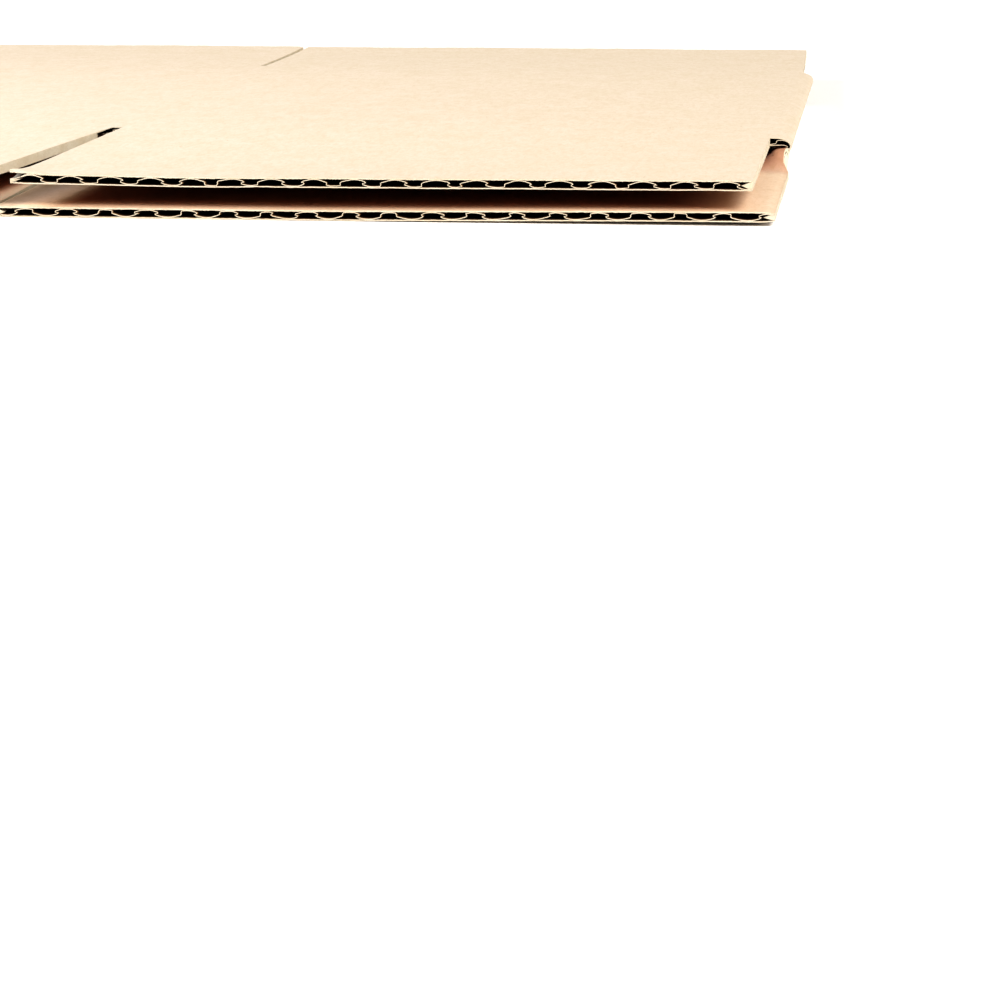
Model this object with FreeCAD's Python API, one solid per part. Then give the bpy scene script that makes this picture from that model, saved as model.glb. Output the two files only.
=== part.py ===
import FreeCAD, Part
import math
import os

# Flattened cardboard box: a slotted carton of single-wall corrugated board, folded flat and lying down.
# X runs across the side panels, Y runs along the flutes and Z is up.
# The origin is the middle of the underside, and every size is in millimetres.

# Panels and flaps of the carton
panel_width = 156.0
wall_height = 158.0
flap_length = 78.0

# Corrugated board: two liners and a fluted medium between them
board_thickness = 2.1
liner_thickness = 0.35
medium_thickness = 0.3
flute_pitch = 8.4
arch_width = 5.4
leg_height = 0.95
crest_contact = 1.6
arch_fullness = 0.06
upper_crest_place = 3.5
lower_crest_place = 6.6
cut_edge_wall = 0.6

# Flat folds at the two sides, where the board is crushed at its score
layer_gap = 4.4
fold_wall = 0.9
fold_bulge = 1.4
fold_corner_radius = 1.2
flute_stop_at_fold = 1.8

# Side edges of the flaps, measured inwards from the outer line of the fold
narrow_flap_inset = 4.8
wide_front_flap_inset = 0.6
wide_back_flap_inset = 5.4

# Slots between the upper flaps, which widen towards the free edge
slot_root_width = 2.4
front_slot_mouth = 7.6
front_slot_lean = -4.6
back_slot_mouth = 5.6
back_slot_lean = 0.6

# Glued joint in the lower layer
seam_place = -5.9
seam_gap = 2.6
joint_bend_width = 4.4
joint_bend_wall = 1.2
tab_width = 35.0
tab_end_clearance = 3.0
tab_taper_angle = 15.0
lower_slot_widening = 1.2

# Pressed score lines on the inside of the board
score_width = 2.4
score_depth = 0.2

overcut = 5.0


# Levels and lines that follow from the sizes above
depth = wall_height + 2 * flap_length
front_edge = -depth / 2
flap_score = wall_height / 2
lower_inside = board_thickness
upper_inside = board_thickness + layer_gap
total_height = 2 * board_thickness + layer_gap
flute_height = board_thickness - 2 * liner_thickness
joint_start = seam_place + seam_gap / 2
joint_end = seam_place - seam_gap / 2
bend_start = joint_end - joint_bend_width / 2


def point(across, up):
    return FreeCAD.Vector(across, front_edge, up)


def closed_wire(corners):
    """Straight-sided outline in the cross-section."""
    return Part.makePolygon([point(*corner) for corner in corners + corners[:1]])


def along_depth(face, start, length):
    """A cross-section drawn at the front edge, moved to start and drawn out along the flutes."""
    moved = face.copy()
    moved.translate(FreeCAD.Vector(0, start - front_edge, 0))
    return moved.extrude(FreeCAD.Vector(0, length, 0))


def plan_prism(corners, bottom, top):
    """Upright prism over an outline given from above."""
    outline = [FreeCAD.Vector(across, along, bottom) for across, along in corners + corners[:1]]
    return Part.Face(Part.makePolygon(outline)).extrude(FreeCAD.Vector(0, 0, top - bottom))


def fold_outline():
    """Outer outline of the folded sleeve: two flat sides joined by a bulging wall at each fold."""
    middle = total_height / 2
    wall_radius = (middle ** 2 + fold_bulge ** 2) / (2 * fold_bulge)
    wall_centre = panel_width - wall_radius
    corner_rise = middle - fold_corner_radius
    corner_reach = wall_radius - fold_corner_radius
    corner_centre = wall_centre + math.sqrt(corner_reach ** 2 - corner_rise ** 2)
    share = wall_radius / corner_reach
    touch_across = wall_centre + (corner_centre - wall_centre) * share
    touch_rise = corner_rise * share
    wall_angle = math.atan2(corner_rise, corner_centre - wall_centre)
    half_turn = (math.pi / 2 + wall_angle) / 2
    mid_across = corner_centre + fold_corner_radius * math.cos(half_turn)
    mid_rise = corner_rise + fold_corner_radius * math.sin(half_turn)
    edges = []
    for side in (1, -1):
        def place(across, rise):
            return point(side * across, middle + side * rise)
        top = place(corner_centre, middle)
        upper_touch = place(touch_across, touch_rise)
        lower_touch = place(touch_across, -touch_rise)
        bottom = place(corner_centre, -middle)
        edges.append(Part.Arc(top, place(mid_across, mid_rise), upper_touch).toShape())
        edges.append(Part.Arc(upper_touch, place(panel_width, 0), lower_touch).toShape())
        edges.append(Part.Arc(lower_touch, place(mid_across, -mid_rise), bottom).toShape())
        edges.append(Part.makeLine(bottom, place(-corner_centre, -middle)))
    return Part.Wire(edges)


def cavity_outline():
    """Flat space between the two layers, closed at each side by the crushed wall of the fold."""
    middle = total_height / 2
    wall_radius = (middle ** 2 + fold_bulge ** 2) / (2 * fold_bulge)
    inner_radius = wall_radius - fold_wall
    half_gap = layer_gap / 2
    corner = panel_width - wall_radius + math.sqrt(inner_radius ** 2 - half_gap ** 2)
    reach = panel_width - fold_wall
    right = Part.Arc(point(corner, middle + half_gap), point(reach, middle), point(corner, middle - half_gap))
    left = Part.Arc(point(-corner, middle - half_gap), point(-reach, middle), point(-corner, middle + half_gap))
    bottom = Part.makeLine(point(corner, middle - half_gap), point(-corner, middle - half_gap))
    top = Part.makeLine(point(-corner, middle + half_gap), point(corner, middle + half_gap))
    return Part.Wire([right.toShape(), bottom, left.toShape(), top])


def flute_cells(crest, inside, outward):
    """The two open channels of one flute: one under the arch, one beside it under the outer liner."""
    floor = inside + outward * liner_thickness
    half_arch = arch_width / 2
    half_inner = half_arch - medium_thickness
    half_contact = crest_contact / 2
    inner_leg = leg_height - medium_thickness / 2

    def place(across, rise):
        return point(crest + across, floor + outward * rise)

    under_arch = Part.Wire([
        Part.makeLine(place(-half_inner, 0), place(-half_inner, inner_leg)),
        Part.Arc(
            place(-half_inner, inner_leg),
            place(0, flute_height - medium_thickness),
            place(half_inner, inner_leg),
        ).toShape(),
        Part.makeLine(place(half_inner, inner_leg), place(half_inner, 0)),
        Part.makeLine(place(half_inner, 0), place(-half_inner, 0)),
    ])
    flank_middle = (half_contact + half_arch) / 2
    flank_rise = (flute_height + leg_height) / 2 + arch_fullness
    beside_arch = Part.Wire([
        Part.Arc(
            place(half_contact, flute_height),
            place(flank_middle, flank_rise),
            place(half_arch, leg_height),
        ).toShape(),
        Part.makeLine(place(half_arch, leg_height), place(half_arch, medium_thickness)),
        Part.makeLine(place(half_arch, medium_thickness), place(flute_pitch - half_arch, medium_thickness)),
        Part.makeLine(
            place(flute_pitch - half_arch, medium_thickness),
            place(flute_pitch - half_arch, leg_height),
        ),
        Part.Arc(
            place(flute_pitch - half_arch, leg_height),
            place(flute_pitch - flank_middle, flank_rise),
            place(flute_pitch - half_contact, flute_height),
        ).toShape(),
        Part.makeLine(place(flute_pitch - half_contact, flute_height), place(half_contact, flute_height)),
    ])
    return [Part.Face(under_arch), Part.Face(beside_arch)]


def board_channels(start, end, crest_place, inside, outward):
    """Wires of every channel between start and end, with a cell that an end passes through cut there."""
    first = math.floor((start - crest_place) / flute_pitch) - 1
    last = math.ceil((end - crest_place) / flute_pitch) + 1
    low = min(inside, inside + outward * board_thickness) - overcut
    span = closed_wire([
        (start, low),
        (end, low),
        (end, low + board_thickness + 2 * overcut),
        (start, low + board_thickness + 2 * overcut),
    ])
    window = Part.Face(span)
    wires = []
    for number in range(first, last + 1):
        for cell in flute_cells(crest_place + number * flute_pitch, inside, outward):
            box = cell.BoundBox
            if box.XMin >= start and box.XMax <= end:
                wires.append(cell.OuterWire)
            elif box.XMax > start + medium_thickness and box.XMin < end - medium_thickness:
                wires.extend(face.OuterWire for face in cell.common(window).Faces)
    return wires


def sleeve():
    """Both layers and both folds, drawn out along the flutes, with every channel open at both ends."""
    reach = panel_width - flute_stop_at_fold
    wires = [fold_outline(), cavity_outline()]
    wires += board_channels(-reach, reach, upper_crest_place, upper_inside, 1)
    wires += board_channels(-reach, bend_start - cut_edge_wall, lower_crest_place, lower_inside, -1)
    wires += board_channels(joint_start + cut_edge_wall, reach, lower_crest_place, lower_inside, -1)
    section = Part.makeFace(wires, "Part::FaceMakerBullseye")
    return along_depth(section, front_edge, depth)


def upper_slot(side, mouth_width, lean):
    """Cut between two upper flaps, and the closed board edges that the knife leaves along it."""
    root = side * flap_score
    edge = side * (depth / 2)
    beyond = side * overcut
    half_root = slot_root_width / 2
    left_mouth = lean - mouth_width / 2
    right_mouth = lean + mouth_width / 2
    left_slope = (left_mouth + half_root) / flap_length
    right_slope = (right_mouth - half_root) / flap_length
    cut = [
        (-half_root, root),
        (left_mouth + left_slope * overcut, edge + beyond),
        (right_mouth + right_slope * overcut, edge + beyond),
        (half_root, root),
    ]
    left_rim = [
        (-half_root, root),
        (left_mouth, edge),
        (left_mouth - cut_edge_wall, edge),
        (-half_root - cut_edge_wall, root),
    ]
    right_rim = [
        (half_root, root),
        (right_mouth, edge),
        (right_mouth + cut_edge_wall, edge),
        (half_root + cut_edge_wall, root),
    ]
    tool = plan_prism(cut, upper_inside - layer_gap / 2, total_height + overcut)
    rims = [plan_prism(rim, upper_inside, total_height) for rim in (left_rim, right_rim)]
    return tool, rims


def lower_slot(side):
    """Cut between the two lower flaps, in line with the glued joint."""
    root = side * flap_score
    edge = side * (depth / 2)
    beyond = side * overcut
    wide_edge = bend_start - lower_slot_widening
    cut = [
        (bend_start, root),
        (wide_edge, edge),
        (wide_edge, edge + beyond),
        (joint_start, edge + beyond),
        (joint_start, root),
    ]
    rim = [
        (bend_start, root),
        (wide_edge, edge),
        (wide_edge - cut_edge_wall, edge),
        (bend_start - cut_edge_wall, root),
    ]
    tool = plan_prism(cut, -overcut, lower_inside + layer_gap / 2)
    return tool, [plan_prism(rim, 0, lower_inside)]


def fold_notch(side, end):
    """Opening at the end of a fold: at the front one layer's flap is cut narrow and the other nearly full."""
    root = end * flap_score
    edge = end * (depth / 2 + overcut)
    wide_inset = wide_front_flap_inset if end < 0 else wide_back_flap_inset
    narrow = side * (panel_width - narrow_flap_inset)
    wide = side * (panel_width - wide_inset)
    beyond = side * (panel_width + overcut)
    narrow_cut = [(narrow, root), (beyond, root), (beyond, edge), (narrow, edge)]
    wide_cut = [(wide, root), (beyond, root), (beyond, edge), (wide, edge)]
    closed = side * (panel_width - narrow_flap_inset - cut_edge_wall)
    free_edge = end * depth / 2
    rim = [(narrow, root), (narrow, free_edge), (closed, free_edge), (closed, root)]
    wide_closed = side * (panel_width - wide_inset - cut_edge_wall)
    wide_rim = [(wide, root), (wide, free_edge), (wide_closed, free_edge), (wide_closed, root)]
    if side > 0:
        tools = [
            plan_prism(narrow_cut, lower_inside, total_height + overcut),
            plan_prism(wide_cut, -overcut, lower_inside),
        ]
        rims = [plan_prism(rim, upper_inside, total_height)]
        if end > 0:
            rims.append(plan_prism(wide_rim, 0, lower_inside))
        return tools, rims
    tools = [
        plan_prism(narrow_cut, -overcut, upper_inside),
        plan_prism(wide_cut, upper_inside, total_height + overcut),
    ]
    rims = [plan_prism(rim, 0, lower_inside)]
    if end > 0:
        rims.append(plan_prism(wide_rim, upper_inside, total_height))
    return tools, rims


def seam():
    """Open butt seam of the glued joint between the two lower panels."""
    corners = [
        (bend_start, -flap_score),
        (joint_start, -flap_score),
        (joint_start, flap_score),
        (bend_start, flap_score),
    ]
    return plan_prism(corners, -overcut, lower_inside + layer_gap / 2)


def glue_tab():
    """Tab inside the joint: it steps up from one lower panel and lies glued on the other."""
    tab_top = lower_inside + board_thickness
    tab_end = joint_start + tab_width
    root_half = flap_score - tab_end_clearance
    tip_half = root_half - tab_width * math.tan(math.radians(tab_taper_angle))
    tab_section = Part.makeFace(
        [closed_wire([
            (joint_start, lower_inside),
            (tab_end, lower_inside),
            (tab_end, tab_top),
            (joint_start, tab_top),
        ])]
        + board_channels(
            joint_start + cut_edge_wall,
            tab_end - cut_edge_wall,
            lower_crest_place,
            tab_top,
            -1,
        ),
        "Part::FaceMakerBullseye",
    )
    flat_tab = along_depth(tab_section, -root_half, 2 * root_half)
    outline = plan_prism(
        [
            (joint_start - overcut, -root_half),
            (joint_start, -root_half),
            (tab_end, -tip_half),
            (tab_end, tip_half),
            (joint_start, root_half),
            (joint_start - overcut, root_half),
        ],
        lower_inside - overcut,
        tab_top + overcut,
    )
    bend = Part.Face(closed_wire([
        (bend_start - cut_edge_wall, 0),
        (bend_start + joint_bend_wall, 0),
        (joint_start, lower_inside),
        (joint_start, tab_top),
        (joint_start - joint_bend_wall, tab_top),
        (bend_start - cut_edge_wall, lower_inside),
    ]))
    return [flat_tab.common(outline), along_depth(bend, -root_half, 2 * root_half)]


def score_grooves():
    """Shallow grooves pressed into the inner liners where the panels and the flaps fold."""
    half_width = score_width / 2
    reach = panel_width - flute_stop_at_fold
    grooves = []
    for level, inward in ((upper_inside, 1), (lower_inside, -1)):
        for side in (-1, 1):
            corners = [
                FreeCAD.Vector(-reach, side * flap_score - half_width, level),
                FreeCAD.Vector(-reach, side * flap_score, level + inward * score_depth),
                FreeCAD.Vector(-reach, side * flap_score + half_width, level),
            ]
            face = Part.Face(Part.makePolygon(corners + corners[:1]))
            grooves.append(face.extrude(FreeCAD.Vector(2 * reach, 0, 0)))
    middle = Part.Face(closed_wire([
        (-half_width, upper_inside),
        (0, upper_inside + score_depth),
        (half_width, upper_inside),
    ]))
    grooves.append(along_depth(middle, -flap_score, wall_height))
    return grooves


def flattened_box():
    """The whole carton as one solid."""
    tools = []
    rims = []
    for side, mouth, lean in (
        (-1, front_slot_mouth, front_slot_lean),
        (1, back_slot_mouth, back_slot_lean),
    ):
        tool, edges = upper_slot(side, mouth, lean)
        tools.append(tool)
        rims += edges
        tool, edges = lower_slot(side)
        tools.append(tool)
        rims += edges
    for side in (-1, 1):
        for end in (-1, 1):
            cuts, edges = fold_notch(side, end)
            tools += cuts
            rims += edges
    tools.append(seam())
    body = sleeve().cut(tools)
    body = body.fuse(rims + glue_tab())
    body = body.cut(score_grooves())
    return body.removeSplitter()


os.makedirs("parts", exist_ok=True)
box = flattened_box()
if box.ShapeType == "Compound" and len(box.Solids) == 1:
    box = box.Solids[0]
box.exportStep("parts/flattened_box.step")
print(
    "flattened_box: solids", len(box.Solids),
    "valid", box.isValid(),
    "faces", len(box.Faces),
    "volume", round(box.Volume),
    "size", [round(value, 2) for value in (box.BoundBox.XLength, box.BoundBox.YLength, box.BoundBox.ZLength)],
)
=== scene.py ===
import bmesh
import bpy
import math
import random
import numpy as np
from collections import namedtuple
from mathutils import Matrix, Vector


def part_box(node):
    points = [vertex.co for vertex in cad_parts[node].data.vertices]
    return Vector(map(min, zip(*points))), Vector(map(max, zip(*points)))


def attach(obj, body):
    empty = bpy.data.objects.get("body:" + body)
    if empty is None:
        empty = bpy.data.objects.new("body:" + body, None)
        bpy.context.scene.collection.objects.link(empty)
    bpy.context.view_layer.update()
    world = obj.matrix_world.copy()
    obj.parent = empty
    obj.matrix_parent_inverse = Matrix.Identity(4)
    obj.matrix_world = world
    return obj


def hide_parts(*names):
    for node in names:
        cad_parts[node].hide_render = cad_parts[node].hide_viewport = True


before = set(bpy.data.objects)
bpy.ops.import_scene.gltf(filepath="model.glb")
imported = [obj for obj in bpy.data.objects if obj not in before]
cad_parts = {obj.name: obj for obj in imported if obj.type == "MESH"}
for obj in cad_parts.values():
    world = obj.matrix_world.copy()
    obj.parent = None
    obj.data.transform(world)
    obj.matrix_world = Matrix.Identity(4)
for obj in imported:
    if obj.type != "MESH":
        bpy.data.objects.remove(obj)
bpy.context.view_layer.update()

# A flattened corrugated carton, made the way the real one is: three papers are laid out flat as one blank,
# slotted, trimmed, and then folded at both sides and glued at the tab.
# The blank's own coordinates are "along" (from the glue tab, round both folds, to the far seam edge),
# "y" (the direction of the flutes) and "depth" (from the outer surface of the board inwards).
# These sizes are in millimetres, and MM turns them into Blender's metres at the very end.

MM = 0.001
box_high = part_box("flattened_box")[1]

half_width = box_high.x / MM
half_depth = box_high.y / MM
total_height = box_high.z / MM

# The board, its papers and its flutes; a crest touches the outer paper at these places in each layer
board = 2.1
liner = 0.27
medium = 0.18
flute_pitch = 8.4
upper_crest_place = 3.5
lower_crest_place = 6.6

# How far the flat panels and the flap scores are from the middle of the box
flat_reach = 144.0
flap_score = 79.0

# How far the flaps stand back from the full width
narrow_flap_inset = 4.8
back_narrow_flap_inset = 4.4
back_notch_root_inset = 2.8
wide_flap_inset = 0.3
back_lower_flap_inset = 5.4

# Where the notches beside the folds end, how the lower board flares out there, and how soon it lies flat
front_notch_end = 77.5
back_notch_end = 82.0
notch_flare = 2.6
notch_flare_length = 5.0
fold_run_out = 9.5

# The upper slots: where they end, and their left and right side at the root and at the mouth
front_slot_end = 75.0
back_slot_end = 84.0
front_slot_roots = (0.2, 2.7)
back_slot_roots = (2.6, 4.0)
front_slot_mouth = (-9.4, -0.8)
back_slot_mouth = (0.8, 2.4)

# The glued joint in the lower layer, and the left side of the slots beside it
seam_edge = -4.6
bend_start = -9.4
lower_slot_root = -7.4
lower_slot_mouth = -5.2
tab_end = 30.4
tab_half_root = 76.0
tab_shoulder = 4.0
tab_taper_angle = 15.0
glue_line = 0.03

# How far behind the root of a slot the knife left the flutes open, and how wide it pinched the board
closed_root = 0.2
open_root_length = 5.0
pinch_reach = 1.4

# How far a cut may reach to either side of the slot that it belongs to
cut_room = 14.0

chance = random.Random(11)


# Paths that the board follows once it is folded

def smooth_path(points, parts=6):
    """A rounded path through the points (Catmull-Rom), which starts and ends straight."""
    known = [points[0]] + list(points) + [points[-1]]
    path = [points[0]]
    for before, here, following, after in zip(known, known[1:], known[2:], known[3:]):
        p0, p1, p2, p3 = map(np.array, (before, here, following, after))
        for step in range(1, parts + 1):
            t = step / parts
            path.append(tuple(
                0.5 * (2 * p1 + (p2 - p0) * t + (2 * p0 - 5 * p1 + 4 * p2 - p3) * t ** 2
                       + (3 * p1 - p0 - 3 * p2 + p3) * t ** 3)
            ))
    return np.array(path)


def lengths_along(points):
    steps = np.hypot(*np.diff(points, axis=0).T)
    return np.concatenate([[0], np.cumsum(steps)])


# Section of the right fold, as pairs of places on the board's outer and inner surface:
# a tight crease at the top, then the board runs back under it in a slow curve to the lower panel.
fold_section = (
    ((144.0, 8.6), (144.0, 6.5)),
    ((148.5, 8.6), (148.5, 6.5)),
    ((151.2, 8.6), (151.2, 6.6)),
    ((153.4, 8.4), (153.2, 6.75)),
    ((154.8, 7.95), (154.3, 6.75)),
    ((155.7, 7.3), (154.95, 6.5)),
    ((156.0, 6.4), (154.9, 6.3)),
    ((155.6, 5.2), (153.8, 6.15)),
    ((154.6, 3.9), (152.5, 5.8)),
    ((152.9, 2.6), (151.1, 4.6)),
    ((150.4, 1.2), (149.2, 3.3)),
    ((147.4, 0.3), (146.9, 2.4)),
    ((144.0, 0.0), (144.0, 2.1)),
)
outer_fold = smooth_path([outer for outer, inner in fold_section])
inner_fold = smooth_path([inner for outer, inner in fold_section])
outer_steps = lengths_along(outer_fold)
fold_length = outer_steps[-1]
fold_middle = flat_reach + fold_length / 2
lower_start = flat_reach + fold_length

# Where the joint's board steps up from one lower panel on to the other
outer_bend = np.array([
    (bend_start, 0.0),
    (-8.4, 0.05),
    (-6.9, 0.95),
    (-5.6, 1.85),
    (-4.4, board + glue_line),
    (tab_end, board + glue_line),
])
inner_bend = np.array([
    (bend_start, board),
    (-9.0, 2.35),
    (-8.1, 3.1),
    (-7.0, 3.95),
    (-5.4, 2 * board + glue_line),
    (tab_end, 2 * board + glue_line),
])
bend_steps = lengths_along(outer_bend)
tab_reach = lower_start + (flat_reach + bend_start)
blank_left = -(tab_reach + bend_steps[-1])
blank_right = lower_start + flat_reach - seam_edge


def on_lower_right(x):
    """Place on the blank of a point of the lower right panel."""
    return lower_start + flat_reach - x


def on_lower_left(x):
    """Place on the blank of a point of the lower left panel."""
    return -(lower_start + flat_reach + x)


def smooth_step(value):
    value = np.clip(value, 0, 1)
    return value * value * (3 - 2 * value)


SideEdge = namedtuple("SideEdge", "root mouth end side reach flare pinch open_root")


def side_edges():
    """Cut edges that run along the flutes, from the root of a slot or notch to the free edge of the flaps.

    root and mouth are places on the blank, end is -1 in front and 1 at the back, side points to the board,
    reach is |y| at the root, flare widens the board there, pinch is how hard the knife squeezed the board,
    and open_root is how far the flute stays open behind the root.
    """
    slots = (
        (
            -1, front_slot_roots, front_slot_mouth, front_slot_end, front_notch_end,
            narrow_flap_inset, narrow_flap_inset, wide_flap_inset
        ),
        (
            1, back_slot_roots, back_slot_mouth, back_slot_end, back_notch_end,
            back_notch_root_inset, back_narrow_flap_inset, back_lower_flap_inset
        ),
    )
    faint, light, firm, hard = 0.03, 0.05, 0.15, 0.28
    edges = []
    for end, roots, mouth, slot_end, notch_end, root_inset, narrow_inset, wide_inset in slots:
        open_root, flare = (open_root_length, notch_flare) if end < 0 else (closed_root, 0)
        notch_root = half_width - root_inset
        narrow = half_width - narrow_inset
        lower_width = half_width - wide_inset
        lower_right, lower_left = on_lower_right(lower_width), on_lower_left(-narrow)
        slot_root, slot_mouth = on_lower_left(lower_slot_root), on_lower_left(lower_slot_mouth)
        edges += [
            SideEdge(roots[0], mouth[0], end, -1, slot_end, 0, light, open_root),
            SideEdge(roots[1], mouth[1], end, 1, slot_end, 0, light, closed_root),
            SideEdge(notch_root, narrow, end, -1, notch_end, 0, faint, closed_root),
            SideEdge(lower_right, lower_right, end, 1, notch_end, flare, hard, closed_root),
            SideEdge(-lower_width, -lower_width, end, 1, notch_end, 0, light, closed_root),
            SideEdge(lower_left, lower_left, end, -1, notch_end, 0, firm, closed_root),
            SideEdge(slot_root, slot_mouth, end, 1, flap_score, 0, light, closed_root),
            SideEdge(blank_right, blank_right, end, -1, flap_score, 0, light, closed_root),
        ]
    return edges


SIDE_EDGES = side_edges()


def edge_line(edge, y):
    """Blank place of a side edge at y."""
    share = (np.abs(y) - edge.reach) / (half_depth - edge.reach)
    near_root = np.clip((edge.reach + notch_flare_length - np.abs(y)) / notch_flare_length, 0, 1)
    return edge.root + (edge.mouth - edge.root) * np.clip(share, 0, 1) - edge.side * edge.flare * near_root


def groove(distance, width):
    """Share of its full depth that a rounded groove has at a distance from its middle."""
    return np.exp(-(distance / width) ** 2)


def pinch_amount(along, y):
    """How much of its thickness the board lost to the slotting knife, on the side edges and beside them."""
    amount = np.zeros_like(along)
    for edge in SIDE_EDGES:
        distance = np.abs(along - edge_line(edge, y))
        beyond = smooth_step((edge.end * y - edge.reach + 2) / 2)
        amount = np.maximum(amount, edge.pinch * beyond * groove(distance, pinch_reach))
    return amount


def board_thickness(along, y):
    """Thickness left where the board was scored, pressed into shallow bands in the pile, or cut."""
    score_width = 1.1
    flap_line = groove(np.abs(y) - flap_score, score_width)
    panel_line = groove(along, score_width) * smooth_step((flap_score - np.abs(y)) / 2)
    upper = smooth_step((fold_middle - np.abs(along)) / 4)
    pressed = groove(along - 51.0, 3.4) + 0.6 * groove(along - 79.0, 3.0)
    ends = np.exp(-(half_depth - np.abs(y)) / 1.0)
    lost = 0.75 * flap_line + 0.6 * panel_line + 0.12 * pressed * upper + 0.06 * ends
    return board - np.minimum(lost, 0.8)


def folded(along, y, depth):
    """Turns places on the flat blank into places on the folded box, and says which are in the upper layer."""
    side = np.where(along < 0, -1.0, 1.0)
    run = np.abs(along)
    share = depth / board
    scored = board_thickness(along, y) / board
    in_fold = smooth_step((run - flat_reach) / 2) * smooth_step((lower_start - run) / 2)
    share = share * (scored + (1 - scored) * in_fold)
    share = share + (0.5 - share) * pinch_amount(along, y)

    step = np.clip(run - flat_reach, 0, fold_length)
    outer_x = np.interp(step, outer_steps, outer_fold[:, 0])
    outer_z = np.interp(step, outer_steps, outer_fold[:, 1])
    inner_x = np.interp(step, outer_steps, inner_fold[:, 0])
    inner_z = np.interp(step, outer_steps, inner_fold[:, 1])
    round_x = outer_x + (inner_x - outer_x) * share
    round_z = outer_z + (inner_z - outer_z) * share

    upper = run < fold_middle
    lower_x = flat_reach - (run - lower_start)
    flat_x = np.where(upper, run, lower_x)
    flat_z = np.where(upper, total_height - share * board, share * board)
    notch_end = np.where(y < 0, front_notch_end, back_notch_end)
    free = smooth_step((np.abs(y) - notch_end) / fold_run_out)
    curved = (run > flat_reach) & (run < lower_start)
    x = np.where(curved, round_x + (flat_x - round_x) * free, flat_x) * side
    z = np.where(curved, round_z + (flat_z - round_z) * free, flat_z)

    on_tab = -along - tab_reach
    joined = (on_tab > 0) & (np.abs(y) < flap_score)
    tab_step = np.clip(on_tab, 0, bend_steps[-1])
    tab_outer_x = np.interp(tab_step, bend_steps, outer_bend[:, 0])
    tab_outer_z = np.interp(tab_step, bend_steps, outer_bend[:, 1])
    tab_inner_x = np.interp(tab_step, bend_steps, inner_bend[:, 0])
    tab_inner_z = np.interp(tab_step, bend_steps, inner_bend[:, 1])
    x = np.where(joined, tab_outer_x + (tab_inner_x - tab_outer_x) * share, x)
    z = np.where(joined, tab_outer_z + (tab_inner_z - tab_outer_z) * share, z)
    return x, z, upper & ~joined


def settled(along, x, y, z, depth, upper):
    """Height once the box lies at rest: its walls crown a little, and its flaps lift and dip."""
    arch = smooth_step((half_depth - 5 - np.abs(y)) / 100)
    crown = arch * (0.45 + 0.85 * smooth_step((half_width + 6 - np.abs(x)) / 90))

    # Each flap lifts by its own amount towards its free edge
    free = smooth_step((np.abs(y) - flap_score + 6) / (half_depth - flap_score))
    front = y < 0
    slot_share = np.clip((np.abs(y) - front_slot_end) / (half_depth - front_slot_end), 0, 1)
    right = x > np.where(front, slot_share * sum(front_slot_mouth) / 2, 0)
    front_right = 0.25 - 0.25 * groove(x - 36, 30) + 0.2 * smooth_step((x - 105) / 45)
    front_left = 0.1 + 0.35 * smooth_step((-x - 20) / 120)
    back_right = 0.15 - 0.1 * smooth_step((x - 60) / 90)
    back_left = 0.3 - 0.2 * smooth_step((-x - 40) / 100)
    front_flaps = np.where(right, front_right, front_left)
    back_flaps = np.where(right, back_right, back_left)
    lift = crown + free * np.where(front, front_flaps, back_flaps)

    # The outer paper has come loose and curls up at the corner beside the front slot
    corner = groove(np.hypot((x + 0.8) / 4.5, (y + half_depth) / 7.0), 1)
    outer_ply = np.clip(1 - depth / 0.6, 0, 1)
    lift = lift + (0.9 * outer_ply + 0.1) * corner * (x > -2.5)

    # The board wanders a little, and its outer paper shows the flutes under it
    wander = 0.05 * np.sin(x / 19 + 1.3) * np.sin(y / 31 + 0.4) + 0.04 * np.sin(x / 7.3 + y / 23)
    washboard = 0.025 * np.cos(2 * math.pi * (along - upper_crest_place) / flute_pitch) * (depth < 0.5)
    low_flap = free * smooth_step((np.abs(x) - 50) / 100) * np.where(front & right, 0.75, 0.35)
    return z + np.where(upper, lift + wander + washboard, low_flap + 0.45 * arch)


# Small helpers for modelling by hand

def only(piece):
    """Selects one piece alone and makes it the active one."""
    for other in bpy.context.selected_objects:
        other.select_set(False)
    piece.select_set(True)
    bpy.context.view_layer.objects.active = piece


def named(piece, name):
    piece.name = name
    piece.data.name = name
    return piece


def coordinates(piece):
    flat = np.empty(len(piece.data.vertices) * 3)
    piece.data.vertices.foreach_get("co", flat)
    return flat.reshape(-1, 3)


def set_coordinates(piece, places):
    piece.data.vertices.foreach_set("co", np.ascontiguousarray(places, dtype=float).ravel())
    piece.data.update()


def select_faces(piece, test):
    """Selects, in edit mode, the faces whose middle passes the test."""
    mesh = bmesh.from_edit_mesh(piece.data)
    for face in mesh.faces:
        face.select_set(False)
    for vertex in mesh.verts:
        vertex.select_set(False)
    for face in mesh.faces:
        if test(face.calc_center_median()):
            face.select_set(True)
    mesh.select_flush_mode()
    bmesh.update_edit_mesh(piece.data)


def select_edges(piece, test):
    """Selects, in edit mode, the edges that pass the test."""
    mesh = bmesh.from_edit_mesh(piece.data)
    for vertex in mesh.verts:
        vertex.select_set(False)
    for edge in mesh.edges:
        edge.select_set(False)
    for edge in mesh.edges:
        if test(edge):
            edge.select_set(True)
    bmesh.update_edit_mesh(piece.data)


def draw_line(piece, place, direction, test):
    """Adds an edge line, as with a rule and knife, across the faces that pass the test."""
    select_faces(piece, test)
    normal = (direction[1], -direction[0], 0)
    bpy.ops.mesh.bisect(plane_co=place, plane_no=normal, use_fill=False, threshold=0.0005)


def remove_faces(piece, test):
    select_faces(piece, test)
    bpy.ops.mesh.delete(type="FACE")


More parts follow.
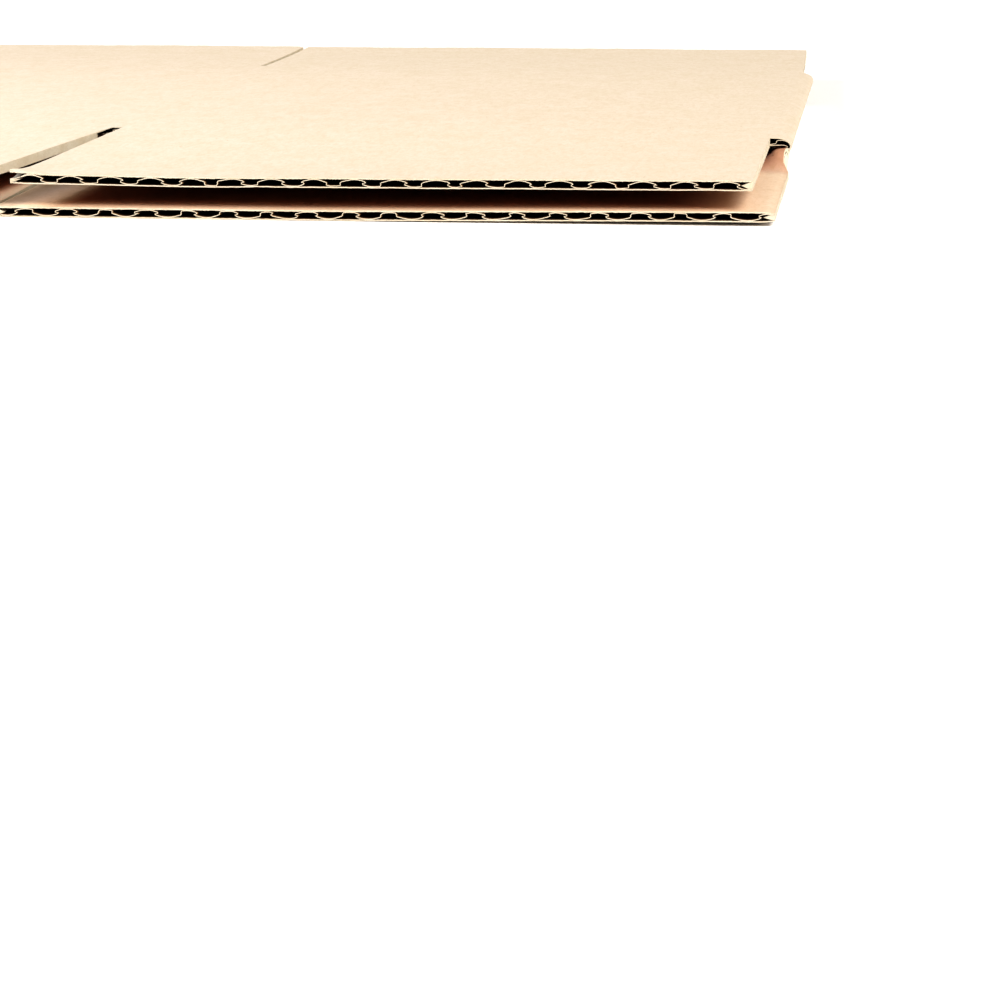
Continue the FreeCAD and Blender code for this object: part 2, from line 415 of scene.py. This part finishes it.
def grid(name, columns, rows):
    """A flat grid whose lines lie at the given places."""
    bpy.ops.mesh.primitive_grid_add(
        x_subdivisions=len(columns) - 1, y_subdivisions=len(rows) - 1, size=2, location=(0, 0, 0)
    )
    piece = named(bpy.context.active_object, name)
    places = coordinates(piece)
    column = (places[:, 0] + 1) / 2 * (len(columns) - 1)
    row = (places[:, 1] + 1) / 2 * (len(rows) - 1)
    places[:, 0] = np.interp(column, range(len(columns)), columns)
    places[:, 1] = np.interp(row, range(len(rows)), rows)
    set_coordinates(piece, places)
    return piece, np.rint(column).astype(int), np.rint(row).astype(int)


# Slotting and trimming the flat blank

def slot_blank(piece, crease_lines):
    """Cuts the slots and notches between the flaps, and trims the board beside the glue tab."""
    only(piece)
    bpy.ops.object.mode_set(mode="EDIT")
    bpy.ops.mesh.select_mode(type="FACE")
    for edge in SIDE_EDGES:
        if edge.root == blank_right:
            continue
        root = Vector((edge.root, edge.end * edge.reach, 0))
        straight = Vector((edge.mouth - edge.root, edge.end * (half_depth - edge.reach), 0)).normalized()
        sections = [(root, straight, edge.reach, half_depth)]
        if edge.flare:
            kink = edge.reach + notch_flare_length
            slant = Vector((edge.side * edge.flare, edge.end * notch_flare_length, 0))
            sections = [
                (root - Vector((slant.x, 0, 0)), slant.normalized(), edge.reach, kink),
                (Vector((edge.root, edge.end * kink, 0)), straight, kink, half_depth),
            ]
        for begin, _, _, _ in sections:
            draw_line(piece, begin, (1, 0, 0), lambda middle: abs(middle.x - edge.root) < cut_room)
        for begin, heading, low, high in sections:
            def beside(middle):
                return low < edge.end * middle.y < high and abs(middle.x - edge.root) < cut_room

            for offset in crease_lines + [0]:
                draw_line(piece, begin + Vector((edge.side * offset, 0, 0)), heading, beside)

    def in_slot(middle):
        end = -1 if middle.y < 0 else 1
        edges = sorted(edge for edge in SIDE_EDGES if edge.end == end)
        places = [edge_line(edge, middle.y) for edge in edges]
        reaches = [edge.reach for edge in edges]
        if abs(middle.y) > reaches[0] and middle.x < places[0]:
            return True
        return any(
            places[n] < middle.x < places[n + 1] and abs(middle.y) > reaches[n] for n in (1, 3, 5)
        )

    remove_faces(piece, in_slot)

    tab_root = on_lower_left(bend_start)
    taper = math.tan(math.radians(tab_taper_angle))
    for end in (-1, 1):
        def beside_tab(middle):
            return middle.x < tab_root
        corner = Vector((tab_root - tab_shoulder, end * tab_half_root, 0))
        draw_line(piece, corner, Vector((-1, -end * taper, 0)).normalized(), beside_tab)
        draw_line(piece, corner, Vector((1, 0, 0)), beside_tab)

    def off_tab(middle):
        room = tab_half_root - max(0, tab_root - tab_shoulder - middle.x) * taper
        return middle.x < tab_root and room < abs(middle.y) < flap_score

    remove_faces(piece, off_tab)
    bpy.ops.object.mode_set(mode="OBJECT")


def rough_cut_edges(piece, parts, strength):
    """Splits the cut edges across the flutes finely and shifts their points, as a knife leaves paper."""
    only(piece)
    bpy.ops.object.mode_set(mode="EDIT")
    bpy.ops.mesh.select_mode(type="EDGE")
    cut_line = half_depth - 0.01

    def on_cut(edge):
        return edge.is_boundary and all(abs(vertex.co.y) > cut_line for vertex in edge.verts)

    select_edges(piece, on_cut)
    bpy.ops.mesh.subdivide(number_cuts=parts)
    bpy.ops.object.mode_set(mode="OBJECT")
    places = coordinates(piece)
    on_edge = np.abs(places[:, 1]) > cut_line
    for index in np.flatnonzero(on_edge):
        inward = chance.uniform(-0.4, 1) * strength
        places[index, 1] -= math.copysign(inward, places[index, 1])
        places[index, 2] += chance.uniform(-1, 1) * strength * 0.35
    set_coordinates(piece, places)


def thicken(piece, thickness):
    """Gives a paper its thickness, with the cut rim in the second material and the far side in the last."""
    only(piece)
    solid = piece.modifiers.new("paper thickness", "SOLIDIFY")
    solid.thickness = thickness
    solid.offset = -1
    solid.use_rim = True
    solid.material_offset_rim = 1
    sides = len(piece.data.materials)
    solid.material_offset = sides - 1 if sides > 2 else 0
    bpy.ops.object.modifier_apply(modifier=solid.name)


def fold_up(piece):
    """Folds a finished flat paper into the box, in metres."""
    places = coordinates(piece)
    along, y, depth = places[:, 0], places[:, 1], -places[:, 2]
    x, z, upper = folded(along, y, depth)
    z = settled(along, x, y, z, depth, upper)
    set_coordinates(piece, np.stack([x, y, z], axis=1) * MM)
    only(piece)
    bpy.ops.object.shade_smooth_by_angle(angle=math.radians(28))


def make_faces_point_out(piece):
    only(piece)
    bpy.ops.object.mode_set(mode="EDIT")
    bpy.ops.mesh.select_all(action="SELECT")
    bpy.ops.mesh.normals_make_consistent(inside=False)
    bpy.ops.object.mode_set(mode="OBJECT")


# The three papers

def liner_rows():
    """Lines across the liners: close at the cut edges and at the flap scores, wider between them."""
    from_edge = [0, 0.35, 1.0, 2.2, 4.5, 8, 13, 20, 28, 37, 46, 55, 63, 68, 70.5, 72, 73, 74, 75, 76, 77]
    front = [-half_depth + step for step in from_edge]
    score = [-flap_score, -flap_score + 0.8, -flap_score + 1.8]
    body = list(np.linspace(-flap_score + 6, 0, 9))
    half = front + score + body
    return half + [-step for step in reversed(half[:-1])]


def liner_columns():
    """Lines along the liners: about two millimetres apart, and closer round the folds."""
    count = round((blank_right - blank_left) / 2.1)
    even = np.linspace(blank_left, blank_right, count)
    fine = np.linspace(0, fold_length, 34) + flat_reach
    kept = [place for place in even if not flat_reach - 1 < abs(place) < lower_start + 1]
    bend = [-tab_reach - step for step in np.linspace(0, 6.4, 10)]
    kept = [place for place in kept if not -tab_reach - 7 < place < -tab_reach + 1]
    return sorted(kept + list(fine) + list(-fine) + bend)


def liner_sheet(name, depth, materials):
    """One liner, from depth inwards; the materials are its outer side, its cut rim and its inner side."""
    piece, columns, rows = grid(name, liner_columns(), liner_rows())
    places = coordinates(piece)
    places[:, 2] = -depth
    set_coordinates(piece, places)
    for material in materials:
        piece.data.materials.append(material)
    slot_blank(piece, [0.5, 1.4])
    rough_cut_edges(piece, 4, 0.1)
    thicken(piece, liner)
    fold_up(piece)
    return piece


def crest_places():
    """Places along the blank where the fluting touches the outer liner."""
    upper = [upper_crest_place + flute_pitch * n for n in range(-17, 18)]
    lower = [lower_crest_place + flute_pitch * n for n in range(-18, 18)]
    right = [on_lower_right(x) for x in lower if seam_edge + 1 < x < flat_reach]
    left = [on_lower_left(x) for x in lower if -flat_reach < x < bend_start - 1]
    fixed = sorted(upper + right + left)
    crests = []
    for here, following in zip(fixed, fixed[1:]):
        crests.append(here)
        between = round((following - here) / flute_pitch)
        crests += [here + (following - here) * n / between for n in range(1, between)]
    crests.append(fixed[-1])
    while crests[0] - flute_pitch > blank_left + 2:
        crests.insert(0, crests[0] - flute_pitch)
    return crests


def flute_outline():
    """One crushed flute from trough to trough, as offsets from its crest and heights from 0 to 1."""
    left_bulge = chance.uniform(-0.1, 0.28)
    kink = chance.uniform(0.15, 0.62)
    shoulder = chance.uniform(0.62, 0.76)
    low_shoulder = shoulder - chance.uniform(0.0, 0.1)
    shift = chance.uniform(-0.25, 0.25)
    left_foot = chance.uniform(0.0, 0.1)
    right_foot = chance.uniform(0.0, 0.12)
    width = chance.uniform(0.95, 1.05)
    points = [
        (-3.75, left_foot * 0.6),
        (-3.05, 0.03 + left_foot),
        (-2.92 - left_bulge, 0.30),
        (-2.98 - left_bulge, 0.48),
        (-2.72, shoulder - 0.04),
    ]
    for share in (-0.82, -0.55, -0.28, 0.0, 0.28, 0.55, 0.82):
        edge = shoulder if share < 0 else low_shoulder
        points.append((share * 2.6 + shift * (1 - share ** 2), 1 - (1 - edge) * share ** 2 * 1.15))
    points += [
        (2.42, low_shoulder - 0.08),
        (2.52, 0.48),
        (2.38 - kink, 0.37),
        (2.30 - kink * 0.8, 0.27),
        (2.62, 0.10 + right_foot * 0.4),
        (3.15, right_foot * 0.5),
        (4.0, 0.0),
    ]
    if chance.random() < 0.22:
        points = [(-across, height) for across, height in reversed(points)]
    return [(across * width, height) for across, height in points]


def fluting_sheet(materials):
    """The crushed medium between the liners, wandering a little along its length."""
    crests = crest_places()
    columns, depths, sway, numbers = [], [], [], []
    top = liner + medium / 2 - 0.02
    bottom = board - top
    for number, crest in enumerate(crests):
        before = crest - crests[number - 1] if number else flute_pitch
        after = crests[number + 1] - crest if number + 1 < len(crests) else flute_pitch
        for across, height in flute_outline():
            local = before if across < 0 else after
            columns.append(crest + across * local / flute_pitch)
            depths.append(bottom + (top - bottom) * height)
            sway.append(4 * height * (1 - height))
            numbers.append(number)
    inside = [blank_left + 0.3 < place < blank_right - 0.3 for place in columns]
    columns = [c for c, keep in zip(columns, inside) if keep]
    depths = np.array([d for d, keep in zip(depths, inside) if keep])
    sway = np.array([s for s, keep in zip(sway, inside) if keep])
    numbers = np.array([n for n, keep in zip(numbers, inside) if keep])
    rows = [-half_depth + step for step in (0, 0.3, 0.9, 3, 12, 32, 56, 68, 71, 73, 75, 77, 78)]
    rows += list(np.linspace(-flap_score + 2, 0, 4))
    rows += [-step for step in reversed(rows[:-1])]
    piece, column, row = grid("fluting", range(len(columns)), rows)
    places = coordinates(piece)
    phases = np.array([[chance.uniform(0, 6.3), chance.uniform(30, 70)] for _ in crests])
    drag = np.array([[chance.uniform(-0.3, 0.3), chance.uniform(-0.3, 0.3)] for _ in crests])
    flute = numbers[column]
    y = places[:, 1]
    wave = 0.16 * np.sin(y / phases[flute, 1] * 6.28 + phases[flute, 0])
    front_drag = drag[flute, 0] * np.exp(-(y + half_depth) / 1.2)
    back_drag = drag[flute, 1] * np.exp(-(half_depth - y) / 1.2)
    places[:, 0] = np.array(columns)[column] + sway[column] * (wave + front_drag + back_drag)
    places[:, 2] = -(depths[column] - medium / 2)
    set_coordinates(piece, places)
    for material in materials:
        piece.data.materials.append(material)
    slot_blank(piece, [])
    thicken(piece, medium)
    fold_up(piece)
    return piece


def split_lengthwise(piece, axis, cuts):
    """Divides a primitive two units long into short lengths along its axis."""
    bpy.ops.object.mode_set(mode="EDIT")
    bpy.ops.mesh.select_mode(type="EDGE")
    select_edges(piece, lambda edge: abs(getattr(edge.verts[0].co - edge.verts[1].co, axis)) > 1)
    bpy.ops.mesh.subdivide(number_cuts=cuts)
    bpy.ops.object.mode_set(mode="OBJECT")


def crushed_edge(name, edge, materials):
    """The paper that the slotting knife pressed together along one side edge of a flap."""
    bpy.ops.mesh.primitive_cylinder_add(
        vertices=6, radius=1, depth=2, rotation=(math.radians(90), 0, 0), end_fill_type="NGON"
    )
    piece = named(bpy.context.active_object, name)
    only(piece)
    bpy.ops.object.transform_apply(location=True, rotation=True, scale=True)
    split_lengthwise(piece, "y", 60)
    places = coordinates(piece)
    corner = np.floor(np.degrees(np.arctan2(places[:, 2], places[:, 0])) / 60).astype(int) % 6
    # Section of the strip: how far in from the cut each corner is, and how deep in the board
    wedge = np.array([(-0.04, 1.05), (-0.03, 0.16), (0.9, 0.5), (2.3, 1.0), (0.9, 1.6), (-0.03, 1.94)])
    station = np.rint((places[:, 1] + 1) * 1000).astype(int)
    wobble = {key: [chance.uniform(-1, 1) for _ in range(12)] for key in sorted(set(station))}
    jitter = np.array([[wobble[s][c], wobble[s][c + 6]] for s, c in zip(station, corner)])
    low, high = edge.reach + edge.open_root, half_depth - 0.12
    y = edge.end * (low + (high - low) * (places[:, 1] + 1) / 2)
    inward = wedge[corner, 0] + 0.03 * jitter[:, 0] + 0.05 * jitter[:, 0] * (wedge[corner, 0] > 0.5)
    if edge.open_root > closed_root:
        inward = inward + 1.6 * np.clip(1 - (np.abs(y) - low) / open_root_length, 0, 1)
    depth = wedge[corner, 1] + 0.05 * jitter[:, 1]
    if edge.mouth == front_slot_mouth[1]:
        open_end = smooth_step((-y - half_depth + 9) / 8)
        depth = np.maximum(depth, 1.1 * open_end)
    along = edge_line(edge, y) + edge.side * inward
    set_coordinates(piece, np.stack([along, y, -depth], axis=1))
    make_faces_point_out(piece)
    for material in materials:
        piece.data.materials.append(material)
    fold_up(piece)
    return piece


def crushed_edges(materials):
    strips = [
        crushed_edge(f"crushed_edge_{number}", edge, materials)
        for number, edge in enumerate(SIDE_EDGES)
    ]
    only(strips[0])
    for strip in strips:
        strip.select_set(True)
    bpy.ops.object.join()
    return named(strips[0], "crushed_edges")


def loose_fibres(materials):
    """Short fibres that the knife pulled out of the papers along the front and back edges and the slots."""
    bpy.ops.mesh.primitive_cone_add(vertices=4, radius1=1, radius2=0.3, depth=2, end_fill_type="NGON")
    piece = named(bpy.context.active_object, "edge_fibres")
    only(piece)
    split_lengthwise(piece, "z", 1)
    fibre = coordinates(piece)
    loops = [list(f.vertices) for f in piece.data.polygons]
    points, faces = [], []
    for along, y, depth, outward in fibre_roots():
        length, width = chance.uniform(0.15, 0.55), chance.uniform(0.025, 0.05)
        bend, turn, rise = chance.uniform(-0.5, 0.5), chance.uniform(-1.1, 1.1), chance.uniform(-0.5, 0.5)
        reach = (fibre[:, 2] + 1) / 2 * length - 0.08
        sway = bend * np.clip(reach, 0, None) ** 2
        first = sum(len(p) for p in points)
        local_x = reach * math.sin(turn) + fibre[:, 0] * width + sway
        local_y = reach * math.cos(turn)
        fibre_depth = np.clip(depth - fibre[:, 1] * width - reach * rise, 0.04, board - 0.04)
        if abs(outward[1]) > 0.5:
            place = np.stack([along + local_x, y + outward[1] * local_y, -fibre_depth], axis=1)
        else:
            place = np.stack([along + outward[0] * local_y, y + local_x, -fibre_depth], axis=1)
        points.append(place)
        faces += [[first + v for v in face] for face in loops]
    mesh = bpy.data.meshes.new("edge_fibres")
    mesh.from_pydata(np.concatenate(points).tolist(), [], faces)
    old = piece.data
    piece.data = mesh
    bpy.data.meshes.remove(old)
    mesh.name = "edge_fibres"
    make_faces_point_out(piece)
    for material in materials:
        piece.data.materials.append(material)
    fold_up(piece)
    return piece


def fibre_roots():
    """Blank place, y, depth and outward direction of each loose fibre."""
    roots = []
    panels = [(-tab_reach, -lower_start), (-150, -10), (2, 150), (lower_start, blank_right - 1)]
    for low, high in panels:
        for end in (-1, 1):
            for _ in range(150):
                depth = chance.choice([0.08, 0.2, board - 0.2, board - 0.08])
                roots.append((chance.uniform(low, high), end * half_depth, depth, (0, end)))
    for edge in SIDE_EDGES:
        if edge.root == blank_right:
            continue
        for _ in range(30):
            y = edge.end * chance.uniform(edge.reach + 3, half_depth - 0.5)
            depth = chance.choice([0.1, 0.5, 1.0, 1.5, 1.95])
            roots.append((float(edge_line(edge, y)), y, depth, (-edge.side, 0)))
    return roots


# Materials

def linear(hex_colour):
    """An sRGB hex colour as the linear values that Blender's nodes use."""
    channels = [int(hex_colour[i:i + 2], 16) / 255 for i in (1, 3, 5)]
    return [c / 12.92 if c <= 0.04045 else ((c + 0.055) / 1.055) ** 2.4 for c in channels] + [1]


def add_node(tree, kind, settings=None, **inputs):
    """Adds a node, with its settings and with values or links for its sockets.

    A socket goes by its name, with _ for a space, or by its number, as i0, i1 and so on.
    """
    node = tree.nodes.new(kind)
    for key, value in (settings or {}).items():
        setattr(node, key, value)
    for key, value in inputs.items():
        numbered = key[0] == "i" and key[1:].isdigit()
        socket = node.inputs[int(key[1:]) if numbered else key.replace("_", " ")]
        if isinstance(value, bpy.types.NodeSocket):
            tree.links.new(value, socket)
        else:
            socket.default_value = value
    return node


# A noise of one size, laid over the colours under it: its tone shows where the noise is over low,
# and fully, at its strength, over high
Layer = namedtuple("Layer", "place size_mm detail tone low high strength")

# The painted shade between the papers, multiplied into their colour: its tint, how many millimetres behind
# the front and back edges it is reached, and the openings in the upper layer that let light in
PaintedShade = namedtuple("PaintedShade", "tint reach openings")

# An opening in the painted shade, by its distances from the middle line where the painted light is full and
# where it has gone, and the share of the painted light that gets past the flap scores
Opening = namedtuple("Opening", "near far darkest")
NOTCHES = Opening(150.0, 134.0, 0.3)
SLOTS = Opening(7.0, 11.5, 1.0)
SCORE_SHADE_LENGTH = 15.0


def paper(name, tones, fibre_mm, fibre_bump_mm, roughness, fleck=0.0, painted_shade=None):
    """A matt paper: cloudy formation, fibres laid mostly one way, flecks, a fine felted relief, and painted
    shade if asked.

    Real fibres are about 0.03 mm thick, too fine to show, so they are drawn as wide as fibre_mm.
    """
    material = bpy.data.materials.new(name)
    material.use_nodes = True
    tree = material.node_tree
    shader = tree.nodes["Principled BSDF"]
    place = add_node(tree, "ShaderNodeTexCoord").outputs["Object"]
    laid = add_node(tree, "ShaderNodeMapping", Vector=place, Scale=(1.0, 0.35, 1.0)).outputs["Vector"]
    cloud = Layer(place, 9.0, 4.0, tones[1], 0.35, 0.65, 1.0)
    mottle = Layer(laid, 1.3, 3.0, tones[2], 0.4, 0.75, 0.38)
    fibres = Layer(laid, fibre_mm, 4.0, tones[2], 0.45, 0.75, 0.36)
    layers = [cloud, mottle, fibres]
    if fleck:
        layers.append(Layer(laid, 0.8, 2.0, tones[3], 0.70, 0.76, fleck))
    colour = linear(tones[0])
    for layer in layers:
        noise = add_node(
            tree, "ShaderNodeTexNoise", Vector=layer.place, Scale=1 / (layer.size_mm * MM),
            Detail=layer.detail, Roughness=0.6
        ).outputs["Fac"]
        share = add_node(
            tree, "ShaderNodeMapRange", Value=noise, From_Min=layer.low, From_Max=layer.high, To_Min=0.0,
            To_Max=layer.strength
        ).outputs["Result"]
        colour = add_node(
            tree, "ShaderNodeMixRGB", Fac=share, Color1=colour, Color2=linear(layer.tone)
        ).outputs["Color"]
        if layer is fibres:
            relief = add_node(
                tree, "ShaderNodeBump", Height=noise, Strength=0.5, Distance=fibre_bump_mm * MM
            ).outputs["Normal"]
    # Painted shade: the colour is darkened where little light would reach the paper inside the box
    if painted_shade:
        colour = paint_shade(tree, colour, place, painted_shade)
    tree.links.new(colour, shader.inputs["Base Color"])
    tree.links.new(relief, shader.inputs["Normal"])
    shader.inputs["Roughness"].default_value = roughness
    shader.inputs["Specular IOR Level"].default_value = 0.3
    return material


def paint_shade(tree, colour, place, shade):
    """Paints shade into a paper's colour inside the box, darker away from the edges and openings that let the
    light in.
    """
    axes = add_node(tree, "ShaderNodeSeparateXYZ", Vector=place).outputs
    off_x = add_node(tree, "ShaderNodeMath", {"operation": "ABSOLUTE"}, i0=axes["X"]).outputs["Value"]
    off_y = add_node(tree, "ShaderNodeMath", {"operation": "ABSOLUTE"}, i0=axes["Y"]).outputs["Value"]
    # Share of painted light: none from the reach behind the front and back edges, full at the edges
    light = add_node(
        tree, "ShaderNodeMapRange", Value=off_y, From_Min=(half_depth - shade.reach) * MM,
        From_Max=(half_depth - 0.15) * MM, To_Min=0.0, To_Max=1.0
    ).outputs["Result"]
    for opening in shade.openings:
        past_score = add_node(
            tree, "ShaderNodeMapRange", {"interpolation_type": "SMOOTHSTEP"}, Value=off_y,
            From_Min=flap_score * MM, From_Max=(flap_score + SCORE_SHADE_LENGTH) * MM,
            To_Min=opening.darkest, To_Max=1.0
        ).outputs["Result"]
        window = add_node(
            tree, "ShaderNodeMapRange", Value=off_x, From_Min=opening.far * MM, From_Max=opening.near * MM,
            To_Min=0.0, To_Max=past_score
        ).outputs["Result"]
        light = add_node(
            tree, "ShaderNodeMath", {"operation": "MAXIMUM"}, i0=light, i1=window
        ).outputs["Value"]
    # The painted shade's tint, multiplied into the paper's colour where the painted light share is low
    tint = add_node(
        tree, "ShaderNodeMixRGB", Fac=light, Color1=linear(shade.tint), Color2=linear("#FFFFFF")
    ).outputs["Color"]
    return add_node(
        tree, "ShaderNodeMixRGB", {"blend_type": "MULTIPLY"}, Fac=1.0, Color1=colour, Color2=tint
    ).outputs["Color"]


def make_materials():
    return {
        # Machine-finished kraft linerboard: smooth, matt, finely mottled along the flutes
        "outer": paper(
            "kraft linerboard", ("#E3D7C7", "#DFD3C0", "#D1BEA2", "#AF9472"),
            fibre_mm=0.45, fibre_bump_mm=0.03, roughness=0.78, fleck=0.3
        ),
        # The same paper from inside the box, a little browner and less finished; painted shade darkens it
        # away from the openings
        "inner": paper(
            "inner kraft linerboard with painted shade", ("#EFDCC7", "#EAD6BF", "#DAC2A1", "#9C7850"),
            fibre_mm=0.5, fibre_bump_mm=0.04, roughness=0.88, fleck=0.35,
            painted_shade=PaintedShade("#C48F76", 13.0, (NOTCHES, SLOTS))
        ),
        # The side of the liners glued to the fluting: darker tones as painted shade for paper out of the
        # light, deeper behind the cut edges
        "glued": paper(
            "glued side of the liner with painted shade", ("#A8865F", "#9C7A54", "#8C6A45"),
            fibre_mm=0.6, fibre_bump_mm=0.05, roughness=0.95, painted_shade=PaintedShade("#5A4030", 1.2, ())
        ),
        # Recycled fluting paper, formed hot on corrugating rolls: thin, brown and rougher; painted shade
        # darkens it behind the cut edges
        "medium": paper(
            "recycled fluting medium with painted shade", ("#C0A078", "#B39268", "#A08056"),
            fibre_mm=0.5, fibre_bump_mm=0.05, roughness=0.92, painted_shade=PaintedShade("#5A4030", 1.0, ())
        ),
        # Knife-cut edge of the papers: pale, open fibres
        "cut": paper(
            "knife cut paper edge", ("#E1D9C8", "#DBD0BB", "#C9B99C"),
            fibre_mm=0.25, fibre_bump_mm=0.10, roughness=0.98
        ),
    }


# Floor, light and camera

def floor():
    """A plain floor, a hair below the box so that the two surfaces never coincide."""
    gap = 0.06 * MM
    bpy.ops.mesh.primitive_plane_add(size=6, location=(0, 0, -gap))
    piece = named(bpy.context.active_object, "floor")
    only(piece)
    bpy.ops.object.transform_apply(location=True, rotation=True, scale=True)
    material = bpy.data.materials.new("matt white studio floor")
    material.use_nodes = True
    shader = material.node_tree.nodes["Principled BSDF"]
    shader.inputs["Base Color"].default_value = linear("#FCFCFD")
    shader.inputs["Roughness"].default_value = 0.9
    piece.data.materials.append(material)


def studio_lamp(name, kind, place, aim, colour, **settings):
    """A lamp at a place in metres, which shines towards the aim."""
    light = bpy.data.lights.new(name, kind)
    light.color = linear(colour)[:3]
    for key, value in settings.items():
        setattr(light, key, value)
    lamp = bpy.data.objects.new(name, light)
    bpy.context.scene.collection.objects.link(lamp)
    lamp.location = place
    lamp.rotation_euler = (Vector(aim) - Vector(place)).to_track_quat("-Z", "Y").to_euler()


def studio_light():
    """Pale surroundings, two far and broad softboxes, and two small panels near the box."""
    world = bpy.data.worlds.new("soft studio")
    bpy.context.scene.world = world
    world.use_nodes = True
    background = world.node_tree.nodes["Background"]
    background.inputs["Color"].default_value = linear("#FFFEFC")
    background.inputs["Strength"].default_value = 0.38
    middle = (0.0, 0.0, 0.0)
    broad, broader = math.radians(14), math.radians(28)
    studio_lamp("left softbox", "SUN", (-1.1, -0.12, 0.72), middle, "#FFFAF2", energy=1.1, angle=broad)
    studio_lamp("right softbox", "SUN", (0.68, -0.9, 0.85), middle, "#FFFCF8", energy=3.38, angle=broader)
    panel = 0.2
    studio_lamp(
        "left panel", "AREA", (-0.25, -0.14, 0.25), (-0.04, -0.04, 0.0), "#E6EDFF", energy=0.6, size=panel
    )
    studio_lamp(
        "right panel", "AREA", (0.36, -0.24, 0.25), (0.155, -0.1, 0.0), "#FFFAF4", energy=0.2, size=panel
    )


def camera():
    """The photograph's viewpoint, found from the box's edges: low in front of the right fold."""
    place = Vector((181.13, -786.13, 87.85)) * MM
    turn_left = math.radians(7.33)
    look_down = math.radians(12.889)
    roll = math.radians(-0.277)
    ahead = Vector((
        -math.sin(turn_left) * math.cos(look_down),
        math.cos(turn_left) * math.cos(look_down),
        -math.sin(look_down),
    ))
    level = Vector((math.cos(turn_left), math.sin(turn_left), 0))
    upright = level.cross(ahead)
    right = level * math.cos(roll) + upright * math.sin(roll)
    up = upright * math.cos(roll) - level * math.sin(roll)
    lens_for_width = 3.163
    data = bpy.data.cameras.new("camera")
    data.sensor_width = 36.0
    data.lens = data.sensor_width * lens_for_width
    data.clip_start = 0.01
    data.clip_end = 20
    seer = bpy.data.objects.new("camera", data)
    bpy.context.scene.collection.objects.link(seer)
    turned = Matrix((right, up, -ahead)).transposed().to_4x4()
    seer.matrix_world = Matrix.Translation(place) @ turned
    bpy.context.scene.camera = seer


def main():
    materials = make_materials()
    outer = liner_sheet("outer_liner", 0.0, [materials[key] for key in ("outer", "cut", "glued")])
    inner = liner_sheet("inner_liner", board - liner, [materials[key] for key in ("glued", "cut", "inner")])
    fluting = fluting_sheet([materials["medium"], materials["cut"]])
    edges = crushed_edges([materials["cut"]])
    fibres = loose_fibres([materials["cut"]])
    pieces = (outer, inner, fluting, edges, fibres)
    for piece in pieces:
        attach(piece, "root")
        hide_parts("flattened_box")
    floor()
    studio_light()
    camera()
    bpy.context.scene.view_settings.view_transform = "Standard"
    bpy.context.scene.view_settings.gamma = 0.75


main()
